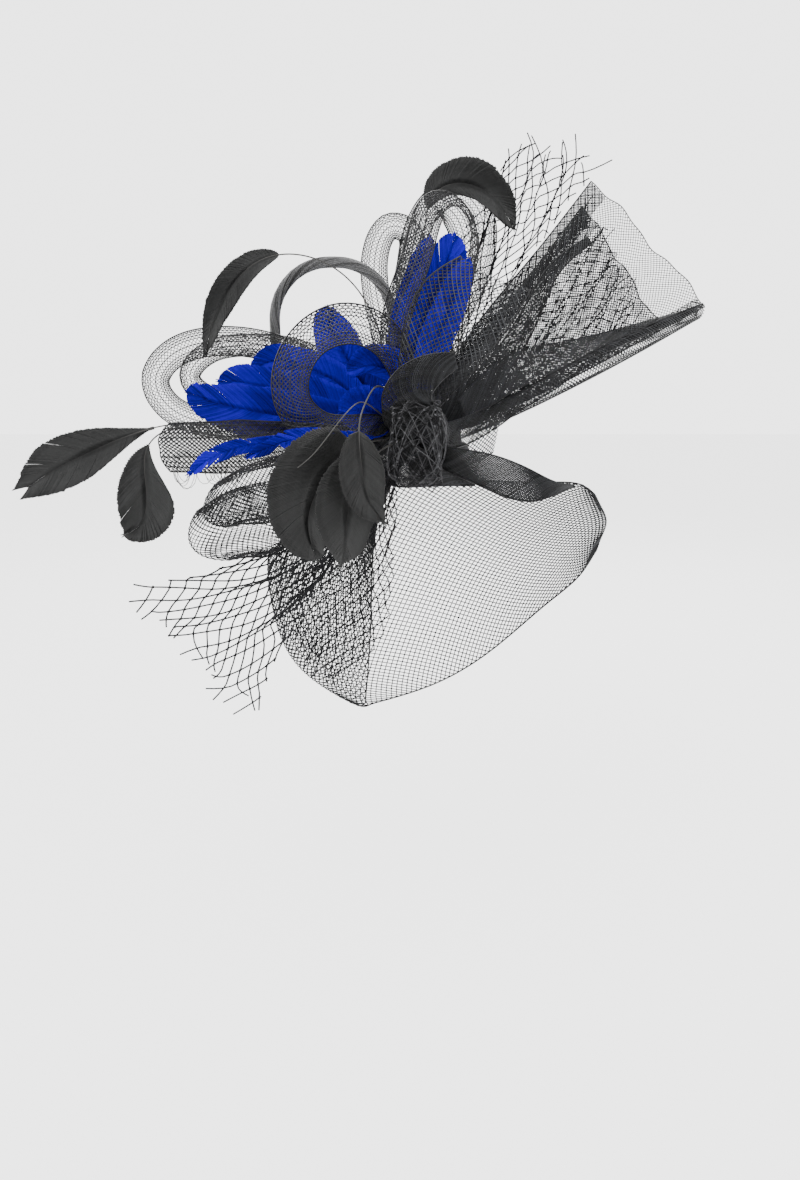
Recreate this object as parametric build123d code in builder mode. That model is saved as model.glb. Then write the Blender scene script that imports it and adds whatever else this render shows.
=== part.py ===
"""Feather and crinoline fascinator on a felt base with a sprung hair clip.

Frame: +Z up, +X to the wearer's side on which the fan stands, +Y to the back, and the origin in the
middle of the base's underside, where it rests on the head. All lengths are in millimetres.

Crinoline, netting and feathers are thin closed solids. Each is lofted through straight cross
sections, and its inner end is glued into the felt crown pad.
"""
import math
import os

from build123d import *

os.makedirs("parts", exist_ok=True)

# Felt base, its lining and the pad that everything is glued into
BASE_R = 26.0
BASE_T = 3.0
LINING_R = 25.0
LINING_T = 1.0
PAD_R = 23.0
PAD_H = 20.0
PAD_ROUND = 14.0
SLOT_W = 13.0
SLOT_L = 44.0

# Thin goods
CRIN_T = 0.8
NET_T = 0.8
VANE_T = 0.8
QUILL_W = 1.4
TUBE_R = 2.5
TUBE_BEND = 26.5
LOOP_STATIONS = 18
FEATHER_STATIONS = 20

# Hair clip, along Y under the base: the levers point forwards, the jaws backwards
PLATE_W = 8.0
PLATE_T = 0.8
PLATE_FRONT_Y = -20.0
PLATE_BACK_Y = 20.0
PIN_Y = -5.0
PIN_Z = -3.0
PIN_R = 0.8
PIN_GAP = 0.05
PIN_HEAD_R = 1.2
PIN_HEAD_T = 0.4
EAR_R = 2.8
EAR_T = 0.8
SIDE_GAP = 0.3
JAW_W = PLATE_W - 2 * EAR_T - 2 * SIDE_GAP
LEVER_ANGLE = 24.0
LEVER_L = 17.0
JAW_GAP = 0.3
TOOTH_PITCH = 2.0
TOOTH_H = 0.8
TEETH = 6
COIL_R = 1.35
COIL_WIRE_R = 0.3
COIL_L = JAW_W - 2 * EAR_T - 2 * SIDE_GAP
LEG_RUN = 7.0
LEG_RISE = 1.0

BACK = Vector(0, 1, 0)


def between(values, t):
    """The value at t, from 0 to 1, on straight lines through evenly spaced values."""
    place = t * (len(values) - 1)
    k = min(int(place), len(values) - 2)
    return values[k] + (values[k + 1] - values[k]) * (place - k)


def ribbon_sections(points, widths, stations):
    """Cross sections of a strip along a spline. The strip faces forwards all along."""
    with BuildLine():
        spine = Spline(*points)
    sections = []
    for k in range(stations + 1):
        t = k / stations
        half = (spine % t).cross(BACK).normalized() * (between(widths, t) / 2)
        sections.append((spine @ t - half, spine @ t + half))
    return sections


def feather_widths(width, quill):
    """Widths along a feather: a bare quill over that share of its length, then a leaf-shaped vane."""
    widths = []
    for k in range(FEATHER_STATIONS + 1):
        u = (k / FEATHER_STATIONS - quill) / (1 - quill)
        leaf = math.sin(math.pi * u ** 0.75) ** 0.7 if 0 < u < 1 else 0.0
        widths.append(max(QUILL_W, width * leaf))
    return widths


def panel_sections(edge_a, edge_b, stations=8):
    """Cross sections of a panel, straight across from one edge's spline to the other's."""
    with BuildLine():
        curve_a = Spline(*edge_a)
        curve_b = Spline(*edge_b)
    return [(curve_a @ (k / stations), curve_b @ (k / stations)) for k in range(stations + 1)]


def fold_sections(front, back, outward):
    """Cross sections round the half turn that joins a front layer's last section to a back layer's."""
    sections = []
    for angle in (45, 90, 135):
        turn = math.radians(angle)
        ends = []
        for a, b in zip(front, back):
            radius = (a - b).length / 2
            ends.append((a + b) / 2 + (a - b) / 2 * math.cos(turn) + outward * radius * math.sin(turn))
        sections.append(tuple(ends))
    return sections


def thin_solid(label, sections, thickness):
    """A closed solid lofted through straight cross sections, and its STEP file."""
    centres = [(a + b) / 2 for a, b in sections]
    last = len(sections) - 1
    with BuildPart() as piece:
        for k, (a, b) in enumerate(sections):
            across = (b - a).normalized()
            ahead = centres[min(k + 1, last)] - centres[max(k - 1, 0)]
            ahead = ahead - across * ahead.dot(across)
            with BuildSketch(Plane(origin=centres[k], x_dir=across, z_dir=ahead)):
                Rectangle((b - a).length, thickness)
        loft(ruled=True)
    write(piece, label)


def write(piece, label):
    piece.part.label = label
    export_step(piece.part, f"parts/{label}.step")


# ---------------------------------------------------------------- base

with BuildPart() as felt_base:
    with BuildSketch(Plane.XY.offset(LINING_T)):
        Circle(BASE_R)
    extrude(amount=BASE_T)
    fillet(felt_base.edges().filter_by(GeomType.CIRCLE), BASE_T * 0.3)
write(felt_base, "felt_base")

with BuildPart() as head_lining:
    with BuildSketch():
        Circle(LINING_R)
        RectangleRounded(SLOT_W, SLOT_L, 3, mode=Mode.SUBTRACT)
    extrude(amount=LINING_T)
write(head_lining, "head_lining")

with BuildPart() as crown_pad:
    with BuildSketch(Plane.XY.offset(LINING_T + BASE_T)):
        Circle(PAD_R)
    extrude(amount=PAD_H)
    fillet(crown_pad.edges().filter_by(GeomType.CIRCLE).sort_by(Axis.Z)[-1], PAD_ROUND)
write(crown_pad, "crown_pad")

# ---------------------------------------------------------------- hair clip

PLATE_TOP = LINING_T
PLATE_LOW = PLATE_TOP - PLATE_T
PLATE_LENGTH = PLATE_BACK_Y - PLATE_FRONT_Y
PLATE_MIDDLE = (PLATE_BACK_Y + PLATE_FRONT_Y) / 2

with BuildPart() as clip_plate:
    with BuildSketch(Plane.XY.offset(PLATE_LOW)):
        with Locations((0, PLATE_MIDDLE)):
            RectangleRounded(PLATE_W, PLATE_LENGTH, 2)
    extrude(amount=PLATE_T)
    for side in (-1, 1):
        outer = side * PLATE_W / 2
        with BuildSketch(Plane.YZ.offset(outer)):
            with Locations((PIN_Y, PIN_Z)):
                Circle(EAR_R)
            with Locations((PIN_Y, (PIN_Z + PLATE_LOW) / 2)):
                Rectangle(2 * EAR_R, PLATE_LOW - PIN_Z)
        extrude(amount=-side * EAR_T)
    with BuildSketch(Plane.YZ.offset(-PLATE_W)):
        with Locations((PIN_Y, PIN_Z)):
            Circle(PIN_R)
    extrude(amount=2 * PLATE_W, mode=Mode.SUBTRACT)
write(clip_plate, "clip_plate")

with BuildPart() as clip_pin:
    with BuildSketch(Plane.YZ.offset(-PLATE_W / 2)):
        with Locations((PIN_Y, PIN_Z)):
            Circle(PIN_R)
    extrude(amount=PLATE_W)
    for side in (-1, 1):
        with BuildSketch(Plane.YZ.offset(side * PLATE_W / 2)):
            with Locations((PIN_Y, PIN_Z)):
                Circle(PIN_HEAD_R)
        extrude(amount=side * PIN_HEAD_T)
write(clip_pin, "clip_pin")

JAW_TOP = PLATE_LOW - JAW_GAP - TOOTH_H
TEETH_START_Y = PLATE_BACK_Y - TEETH * TOOTH_PITCH
LEVER_PLANE = Plane(
    origin=(0, PIN_Y, PIN_Z - EAR_R),
    x_dir=(1, 0, 0),
    z_dir=(0, -math.sin(math.radians(LEVER_ANGLE)), math.cos(math.radians(LEVER_ANGLE))),
)

with BuildPart() as clip_jaw:
    # The two cheeks round the pin
    for side in (-1, 1):
        with BuildSketch(Plane.YZ.offset(side * JAW_W / 2)):
            with Locations((PIN_Y, PIN_Z)):
                Circle(EAR_R)
        extrude(amount=-side * EAR_T)
    # The jaw's arm, from the cheeks to the teeth
    with BuildSketch(Plane.YZ.offset(-JAW_W / 2)):
        with BuildLine():
            Polyline(
                (PIN_Y - EAR_R * 0.6, PIN_Z - EAR_R * 0.75),
                (PIN_Y + EAR_R, PIN_Z - EAR_R),
                (TEETH_START_Y, JAW_TOP - PLATE_T),
                (PLATE_BACK_Y, JAW_TOP - PLATE_T),
                (PLATE_BACK_Y, JAW_TOP),
                (TEETH_START_Y, JAW_TOP),
                (PIN_Y + EAR_R + 1, PIN_Z - EAR_R + PLATE_T),
                (PIN_Y, PIN_Z - EAR_R + PLATE_T * 0.6),
                close=True,
            )
        make_face()
    extrude(amount=JAW_W)
    # The lever that is squeezed towards the plate
    with BuildSketch(LEVER_PLANE):
        with Locations((0, -LEVER_L / 2)):
            RectangleRounded(JAW_W, LEVER_L + 2, 1.4)
    extrude(amount=PLATE_T)
    # Teeth across the jaw's tip
    for k in range(TEETH):
        with BuildSketch(Plane.YZ.offset(-JAW_W / 2)):
            with Locations((PLATE_BACK_Y - TOOTH_PITCH * (k + 0.5), JAW_TOP - 0.1)):
                Polygon((-TOOTH_PITCH / 2, -0.5), (TOOTH_PITCH / 2, -0.5), (0, TOOTH_H), align=None)
        extrude(amount=JAW_W)
    # The pin's running clearance
    with BuildSketch(Plane.YZ.offset(-PLATE_W)):
        with Locations((PIN_Y, PIN_Z)):
            Circle(PIN_R + PIN_GAP)
    extrude(amount=2 * PLATE_W, mode=Mode.SUBTRACT)
write(clip_jaw, "clip_jaw")

with BuildPart() as spring_coil:
    with BuildSketch(Plane.YZ.offset(-COIL_L / 2)):
        with Locations((PIN_Y, PIN_Z)):
            Circle(COIL_R + COIL_WIRE_R)
            Circle(COIL_R - COIL_WIRE_R, mode=Mode.SUBTRACT)
    extrude(amount=COIL_L)
    with BuildSketch(Plane(origin=(-1, PIN_Y, PIN_Z + COIL_R), z_dir=(0, -LEG_RUN, LEG_RISE))):
        Circle(COIL_WIRE_R)
    extrude(amount=LEG_RUN)
write(spring_coil, "spring_coil")

LEVER_SLOPE = math.tan(math.radians(LEVER_ANGLE))
LEG_START_Y = PIN_Y - 2
LEVER_TOP_Z = PIN_Z - EAR_R + PLATE_T / math.cos(math.radians(LEVER_ANGLE))
LEG_START_Z = LEVER_TOP_Z - 2 * LEVER_SLOPE + COIL_WIRE_R / math.cos(math.radians(LEVER_ANGLE))
with BuildPart() as spring_leg:
    with BuildSketch(Plane(origin=(1, LEG_START_Y, LEG_START_Z), z_dir=(0, -1, -LEVER_SLOPE))):
        Circle(COIL_WIRE_R)
    extrude(amount=LEG_RUN)
write(spring_leg, "spring_leg")

# ---------------------------------------------------------------- crinoline panels

# The wing leaves the pad over the base's rim, hangs in front, folds back on itself along its left
# edge, runs across behind, and its top end curls over and comes back to the pad.
WING_ROOT = [
    (Vector(-9, -20, 6.5), Vector(1, -20, 6.5)),
    (Vector(-9, -27, 6), Vector(1, -27, 6)),
]
WING_FRONT = panel_sections(
    [(-10, -30, 3), (-33, -37, -14), (-51, -41, -27), (-62, -43, -39)],
    [(0, -30, 1), (-11, -38, -36), (-14, -43, -72), (-21, -46, -111)],
)
WING_BACK = panel_sections(
    [(-62, -37, -41), (-34, -32, -19), (2, -30, -9), (46, -33, -13), (83, -30, -19)],
    [(-20, -40, -113), (11, -46, -104), (42, -48, -87), (69, -46, -64), (85, -36, -28)],
    stations=9,
)
WING_CURL = panel_sections(
    [(83, -37, -19), (61, -42, -14), (36, -42, -2), (20, -32, 7), (11, -18, 9)],
    [(85, -43, -28), (59, -43, -20), (34, -42, -12), (18, -34, 3), (15, -16, 7)],
)
WING_FOLD = fold_sections(WING_FRONT[-1], WING_BACK[0], Vector(-0.86, 0, -0.5))
WING_END = fold_sections(WING_BACK[-1], WING_CURL[0], Vector(1, 0, 0))
thin_solid("crin_wing", WING_ROOT + WING_FRONT + WING_FOLD + WING_BACK + WING_END + WING_CURL, CRIN_T)

LOBE_OUT = Vector(-0.87, 0, -0.5)

# Each lobe leaves the pad in front, folds at its far end and comes back behind itself
UPPER_LOBE_FRONT = panel_sections(
    [(-15, -16, 9), (-21, -34, 5), (-34, -52, 3), (-52, -64, 3), (-70, -66, -2), (-86, -63, -11)],
    [(-14, -17, 7), (-18, -36, 1), (-32, -54, -9), (-46, -64, -18), (-62, -66, -25), (-78, -62, -28)],
)
UPPER_LOBE_BACK = panel_sections(
    [(-86, -58, -11), (-70, -57, -3), (-52, -57, 2), (-36, -48, 3)],
    [(-78, -57, -28), (-62, -57, -24), (-46, -57, -17), (-34, -49, -7)],
    stations=6,
)
UPPER_LOBE_FOLD = fold_sections(UPPER_LOBE_FRONT[-1], UPPER_LOBE_BACK[0], LOBE_OUT)
thin_solid("crin_lobe_upper", UPPER_LOBE_FRONT + UPPER_LOBE_FOLD + UPPER_LOBE_BACK, CRIN_T)

LOWER_LOBE_FRONT = panel_sections(
    [(-12, -18, 7), (-17, -30, 6), (-30, -46, 0), (-52, -53, -7), (-76, -54, -12), (-98, -52, -24)],
    [(-10, -19, 6), (-15, -32, 4), (-28, -47, -13), (-44, -53, -27), (-62, -54, -40), (-82, -51, -45)],
)
LOWER_LOBE_BACK = panel_sections(
    [(-98, -48, -24), (-76, -48, -13), (-52, -48, -9), (-38, -45, -7)],
    [(-82, -47, -45), (-62, -48, -39), (-44, -48, -28), (-34, -44, -18)],
    stations=6,
)
LOWER_LOBE_FOLD = fold_sections(LOWER_LOBE_FRONT[-1], LOWER_LOBE_BACK[0], LOBE_OUT)
thin_solid("crin_lobe_lower", LOWER_LOBE_FRONT + LOWER_LOBE_FOLD + LOWER_LOBE_BACK, CRIN_T)

PANELS = {
    "crin_fan_back": (
        [(3, 8, 16), (27, 14, 56), (55, 18, 90), (84, 24, 126)],
        [(14, 6, 10), (51, 6, 23), (93, 8, 44), (138, 10, 68)],
    ),
    "crin_fan_front": (
        [(4, -4, 18), (29, -8, 52), (51, -12, 80), (72, -14, 107)],
        [(14, -8, 10), (45, -20, 19), (76, -26, 39), (104, -26, 58)],
    ),
    "crin_fan_hem": (
        [(14, -16, 8), (45, -33, 28), (78, -34, 46), (130, -8, 67)],
        [(16, -14, 5), (46, -29, 16), (84, -30, 36), (130, -4, 61)],
    ),
    "crin_cone": (
        [(1, -16, 15), (-6, -32, 24), (-7, -46, 42), (2, -46, 70), (18, -38, 82)],
        [(7, -16, 13), (9, -32, 20), (22, -50, 35), (36, -48, 52), (47, -40, 69)],
    ),
}
for name, (edge_a, edge_b) in PANELS.items():
    thin_solid(name, panel_sections(edge_a, edge_b), CRIN_T)

# ---------------------------------------------------------------- crinoline loops and bands

LOOPS = {
    "crin_band_end": (
        [(-16, -15, 7), (-50, -34, 7), (-80, -42, 5), (-107, -46, 5)], [4, 14, 22, 20],
    ),
    "crin_loop_left": (
        [(-21, 4, 8), (-44, 5, 7), (-75, 5, 10), (-102, 5, 14), (-118, 5, 21), (-124, 5, 33),
         (-117, 5, 44), (-98, 5, 51), (-74, 5, 50), (-48, 5, 40), (-18, 5, 15)],
        [4, 11, 13, 13, 13, 13, 13, 13, 13, 12, 4],
    ),
    "crin_loop_inner": (
        [(-20, 9, 8), (-46, 10, 17), (-78, 11, 22), (-98, 11, 25), (-109, 11, 35),
         (-100, 11, 46), (-82, 12, 50), (-62, 12, 49), (-39, 12, 39), (-17, 9, 15)],
        [4, 9, 10, 10, 10, 10, 10, 10, 10, 4],
    ),
    "crin_loop_front": (
        [(-11, -18, 14), (-22, -36, 13), (-39, -46, 12), (-51, -51, 23), (-51, -52, 37),
         (-42, -50, 50), (-28, -47, 55), (-14, -44, 50), (-6, -39, 37), (-4, -28, 25), (-3, -15, 18)],
        [4, 10, 14, 15, 15, 15, 16, 15, 12, 8, 4],
    ),
    "crin_loop_pale": (
        [(-4, 20, 12), (-13, 33, 50), (-19, 34, 77), (-19, 35, 96), (-11, 37, 108),
         (-3, 40, 106), (-2, 42, 91), (-6, 41, 64), (-3, 22, 8)],
        [4, 12, 13, 13, 12, 13, 13, 12, 4],
    ),
    "crin_loop_mid": (
        [(-4, -11, 20), (-10, -15, 49), (-7, -14, 66), (0, -12, 85), (4, -8, 100), (10, 3, 110),
         (19, 14, 108), (24, 19, 96), (16, 20, 70), (2, 9, 19)],
        [4, 11, 13, 13, 13, 13, 13, 13, 12, 4],
    ),
    "crin_loop_top": (
        [(3, 20, 11), (-2, 46, 66), (1, 47, 106), (10, 47, 121), (22, 48, 126),
         (33, 50, 118), (36, 52, 102), (24, 53, 69), (8, 20, 8)],
        [4, 12, 13, 13, 13, 13, 13, 12, 4],
    ),
    "crin_cup": (
        [(0, -20, 11), (-3, -36, 12), (-4, -50, 20), (-2, -59, 30), (7, -62, 37), (15, -61, 40)],
        [4, 10, 20, 21, 14, 6],
    ),
}
for name, (points, widths) in LOOPS.items():
    thin_solid(name, ribbon_sections(points, widths, LOOP_STATIONS), CRIN_T)

with BuildPart() as crin_tube_ring:
    with BuildLine():
        tube_path = FilletPolyline(
            (-13, 16, 7), (-67, 16, 34), (-68, 16, 88), (-12, 16, 88), (-7, 16, 10),
            radius=TUBE_BEND,
        )
    with BuildSketch(Plane(origin=tube_path @ 0, z_dir=tube_path % 0)):
        Circle(TUBE_R)
    sweep()
write(crin_tube_ring, "crin_tube_ring")

# ---------------------------------------------------------------- netting

NETS = {
    "net_spray_lower": (
        [(-15, -16, 8), (-20, -30, 7), (-27, -47, -11), (-52, -59, -31), (-90, -61, -46), (-115, -62, -54)],
        [(-13, -17, 8), (-18, -31, 6), (-23, -47, -16), (-38, -58, -48), (-54, -60, -72), (-70, -62, -105)],
    ),
    "net_veil": (
        [(-5, -20, 9), (-11, -41, -2), (-37, -47, -30), (-53, -49, -54), (-52, -51, -78)],
        [(-2, -20, 9), (-7, -41, -3), (-10, -45, -43), (-16, -50, -78), (-35, -52, -96)],
    ),
    "net_spray_upper": (
        [(11, 16, 11), (14, 34, 73), (28, 36, 109), (44, 38, 140)],
        [(15, 13, 11), (43, 34, 73), (67, 34, 106), (85, 36, 133)],
    ),
    "net_in_fan": (
        [(8, 1, 16), (32, 3, 59), (55, 4, 87), (76, 4, 111)],
        [(13, 0, 11), (50, -4, 24), (81, -6, 42), (101, -8, 57)],
    ),
}
for name, (edge_a, edge_b) in NETS.items():
    thin_solid(name, panel_sections(edge_a, edge_b), NET_T)

# ---------------------------------------------------------------- feathers

# Each feather's name: its quill's points, the vane's width, and the share of the quill left bare
FEATHERS = {
    "blue_feather_long": (
        [(-19, -8, 12), (-38, -20, 14), (-64, -27, 18), (-86, -30, 23), (-100, -31, 28)], 24, 0.0,
    ),
    "blue_feather_upper": (
        [(-20, -4, 12), (-39, -9, 22), (-61, -12, 28), (-79, -13, 32), (-90, -13, 33)], 21, 0.0,
    ),
    "blue_feather_back": (
        [(-20, 0, 13), (-35, -1, 31), (-51, -2, 39), (-65, -3, 42), (-76, -3, 38)], 17, 0.0,
    ),
    "blue_feather_curl": (
        [(-14, 6, 17), (-27, 8, 34), (-35, 6, 48), (-40, 4, 59), (-41, 0, 66)], 22, 0.0,
    ),
    "blue_feather_bowl": (
        [(-8, -15, 20), (-7, -19, 28), (-11, -22, 36), (-20, -24, 39), (-30, -26, 36)], 18, 0.0,
    ),
    "blue_feather_heart": (
        [(-12, -17, 14), (-16, -24, 17), (-24, -29, 20), (-34, -31, 18)], 24, 0.0,
    ),
    "blue_feather_tall": (
        [(-8, 9, 19), (-7, 10, 48), (-2, 10, 71), (4, 10, 90), (7, 10, 98)], 14, 0.0,
    ),
    "blue_feather_main": (
        [(-3, 3, 21), (2, 4, 52), (10, 4, 74), (16, 4, 90), (18, 4, 98)], 26, 0.0,
    ),
    "blue_feather_right": (
        [(0, -3, 21), (8, -4, 47), (16, -4, 67), (21, -4, 79), (24, -4, 86)], 16, 0.0,
    ),
    "blue_strip_short": (
        [(-12, -18, 11), (-17, -40, 9), (-32, -57, 10), (-50, -61, 9), (-60, -61, 6), (-69, -61, 2)],
        8, 0.3,
    ),
    "blue_strip_long": (
        [(-15, -15, 12), (-32, -30, 11), (-50, -42, 9), (-70, -48, 6), (-84, -50, 2), (-96, -50, -6)],
        8, 0.3,
    ),
    "black_leaf_side": (
        [(-19, -11, 11), (-38, -23, 13), (-64, -31, 14), (-90, -37, 14), (-107, -40, 14),
         (-116, -41, 12), (-142, -43, 2), (-161, -44, -7), (-175, -45, -16)], 20, 0.6,
    ),
    "black_leaf_drop": (
        [(-19, -12, 7), (-38, -23, 9), (-64, -31, 9), (-90, -37, 10), (-106, -42, 12),
         (-115, -43, 5), (-117, -43, -4), (-117, -44, -18), (-121, -44, -29), (-128, -44, -33)],
        25, 0.7,
    ),
    "black_leaf_arch": (
        [(-11, -12, 19), (-14, -19, 45), (-29, -22, 75), (-50, -23, 85), (-67, -22, 83),
         (-79, -21, 74), (-88, -20, 60), (-94, -19, 44)], 13, 0.62,
    ),
    "black_leaf_top": (
        [(2, 17, 14), (4, 26, 50), (5, 28, 104), (10, 28, 121), (18, 28, 125),
         (31, 27, 123), (41, 26, 115), (48, 25, 104)], 19, 0.64,
    ),
    "black_leaf_big": (
        [(-9, -19, 9), (-14, -46, 8), (-26, -74, 5), (-38, -80, -8), (-43, -80, -22), (-40, -76, -38)],
        34, 0.3,
    ),
    "black_leaf_mid": (
        [(-6, -20, 9), (-9, -48, 7), (-19, -78, 1), (-26, -87, -13), (-28, -87, -27), (-30, -83, -38)],
        24, 0.35,
    ),
    "black_leaf_forked": (
        [(-1, -18, 15), (-6, -32, 20), (-12, -48, 28), (-16, -60, 30), (-20, -76, 24), (-22, -92, 13),
         (-21, -93, 0), (-18, -92, -13), (-13, -91, -20)], 15, 0.62,
    ),
    "black_quill_bare": (
        [(-6, -19, 12), (-13, -35, 17), (-20, -60, 23), (-26, -87, 21), (-33, -98, 12), (-39, -100, 5),
         (-44, -99, 1)], QUILL_W, 0.0,
    ),
}
for name, (points, width, quill) in FEATHERS.items():
    thin_solid(name, ribbon_sections(points, feather_widths(width, quill), FEATHER_STATIONS), VANE_T)

# A tuft of crumpled netting in front of the pad hides the glued ends
TUFT = [(19, 9, 2, 2), (32, 8, 3, 3), (44, 4, 8, 11), (52, 3, 7, 10), (57, 3, 3, 5)]
with BuildPart() as net_tuft:
    for forward, height, half_width, half_height in TUFT:
        with BuildSketch(Plane.XZ.offset(forward)):
            with Locations((5, height)):
                Ellipse(half_width, half_height)
    loft(ruled=True)
write(net_tuft, "net_tuft")
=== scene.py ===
"""Looks of the feather and crinoline fascinator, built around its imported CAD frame.

Crinoline and netting are made thread by thread, and feathers barb by barb. Each follows the surface
that its CAD solid holds. Points and sizes below are in millimetres, and MM turns them into metres.
"""
import math
import zlib

import bpy
import numpy as np
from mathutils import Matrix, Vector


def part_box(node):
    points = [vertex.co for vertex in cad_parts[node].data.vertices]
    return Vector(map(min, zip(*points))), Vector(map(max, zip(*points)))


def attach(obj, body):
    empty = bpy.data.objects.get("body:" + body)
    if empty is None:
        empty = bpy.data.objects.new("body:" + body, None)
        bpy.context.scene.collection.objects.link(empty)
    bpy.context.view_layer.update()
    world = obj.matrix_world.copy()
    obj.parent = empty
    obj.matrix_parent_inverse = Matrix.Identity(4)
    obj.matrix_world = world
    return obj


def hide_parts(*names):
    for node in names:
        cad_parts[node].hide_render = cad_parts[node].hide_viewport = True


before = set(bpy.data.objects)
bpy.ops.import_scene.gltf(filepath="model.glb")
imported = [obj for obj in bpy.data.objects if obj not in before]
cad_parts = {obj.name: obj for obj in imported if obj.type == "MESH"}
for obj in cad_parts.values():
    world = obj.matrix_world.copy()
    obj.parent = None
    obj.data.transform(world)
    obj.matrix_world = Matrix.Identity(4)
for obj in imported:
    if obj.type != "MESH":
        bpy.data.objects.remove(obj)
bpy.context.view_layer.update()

MM = 0.001
BACK = np.array([0.0, 1.0, 0.0])
TURN = 2 * math.pi
SWELL_ROUND = 0.8  # a swell's outline is squarer the smaller this is
WRAP_CLOSED = 6  # a tube of cloth is closed at its start, and open after 1 / 6 of its length


# ---------------------------------------------------------------- curves and surfaces

def unit(vectors):
    """The same vectors at length 1."""
    return vectors / np.maximum(np.linalg.norm(vectors, axis=-1, keepdims=True), 1e-9)


def run_of(points):
    """Distance along a line of points, from 0."""
    return np.concatenate([[0.0], np.cumsum(np.linalg.norm(np.diff(points, axis=0), axis=1))])


def along(points, places):
    """Points at these distances along a line of points."""
    run = run_of(points)
    return np.stack([np.interp(places, run, points[:, k]) for k in range(3)], axis=-1)


def spline(points, count):
    """count + 1 points on the natural cubic spline through these points."""
    p = np.array(points, float)
    knots = run_of(p)
    gaps = np.diff(knots)
    n = len(p)
    system = np.eye(n)
    wanted = np.zeros((n, 3))
    for k in range(1, n - 1):
        system[k, k - 1:k + 2] = gaps[k - 1], 2 * (gaps[k - 1] + gaps[k]), gaps[k]
        wanted[k] = 6 * ((p[k + 1] - p[k]) / gaps[k] - (p[k] - p[k - 1]) / gaps[k - 1])
    bend = np.linalg.solve(system, wanted)
    t = np.linspace(0, knots[-1], count + 1)
    k = np.clip(np.searchsorted(knots, t, side="right") - 1, 0, n - 2)
    h = gaps[k][:, None]
    a = (knots[k + 1] - t)[:, None]
    b = (t - knots[k])[:, None]
    ends = (p[k] / h - bend[k] * h / 6) * a + (p[k + 1] / h - bend[k + 1] * h / 6) * b
    return bend[k] * a ** 3 / (6 * h) + bend[k + 1] * b ** 3 / (6 * h) + ends


def panel(edge_a, edge_b, stations=40):
    """Cross sections of a panel between two edge splines: an array of stations, two ends, xyz."""
    return np.stack([spline(edge_a, stations), spline(edge_b, stations)], axis=1)


def strip(points, widths, stations=70):
    """Cross sections of a ribbon along a spline. The ribbon faces forwards."""
    spine = spline(points, stations)
    ahead = unit(np.gradient(spine, axis=0))
    side = unit(np.cross(ahead, BACK))
    width = np.interp(np.linspace(0, 1, stations + 1), np.linspace(0, 1, len(widths)), widths)
    half = side * width[:, None] / 2
    return np.stack([spine - half, spine + half], axis=1)


def half_turn(front, back, outward):
    """Cross sections round the fold from a front layer's last section to a back layer's first."""
    middle = (front + back) / 2
    reach = (front - back) / 2
    size = np.linalg.norm(reach, axis=1, keepdims=True)
    out = np.array(outward, float)
    return np.stack([
        middle + reach * math.cos(turn) + out * size * math.sin(turn)
        for turn in np.radians((30, 60, 90, 120, 150))
    ])


def cloth(sections, ripple=None, wrap=0.0, swells=()):
    """The cloth over these sections: a function from its length and width, both 0 to 1, to points and
    normals. ripple gives how far the cloth stands off in millimetres, and wrap makes it a flat tube
    of that half thickness. A swell rounds the outline at a fold: (section, way out, height, corner
    height, spread along)."""
    a, b = sections[:, 0], sections[:, 1]
    run = run_of((a + b) / 2)

    def flat(s, t):
        place = np.interp(s * run[-1], run, np.arange(len(run)))
        k = np.clip(place.astype(int), 0, len(run) - 2)
        f = (place - k)[:, None]
        start = a[k] + (a[k + 1] - a[k]) * f
        end = b[k] + (b[k + 1] - b[k]) * f
        points = start + (end - start) * t[:, None]
        for section, out, height, corner, spread in swells:
            near = np.exp(-((s * run[-1] - run[section]) / spread) ** 2)
            lift = corner + (height - corner) * np.sin(math.pi * t) ** SWELL_ROUND
            points = points + np.array(out) * (near * lift)[:, None]
        return points

    def facing(s, t, step=0.004):
        low, high = np.clip(s - step, 0, 1), np.clip(s + step, 0, 1)
        ahead = flat(high, t) - flat(low, t)
        across = flat(s, np.full_like(t, 1.0)) - flat(s, np.full_like(t, 0.0))
        return unit(np.cross(ahead, across))

    def at(s, t):
        s, t = np.clip(s, 0, 1), np.asarray(t, float)
        if wrap:
            angle = TURN * t
            t = (1 - np.cos(angle)) / 2
            normal = facing(s, t)
            stand_off = wrap * np.sin(angle) * np.minimum(1, WRAP_CLOSED * s)
            return flat(s, t) + normal * stand_off[:, None], normal
        normal = facing(s, t)
        points = flat(s, t)
        if ripple:
            points = points + normal * ripple(s, t)[:, None]
        return points, normal

    at.length = run[-1]
    at.width = float(np.linalg.norm(a - b, axis=1).max()) * (2 if wrap else 1)
    return at


# ---------------------------------------------------------------- threads

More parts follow.
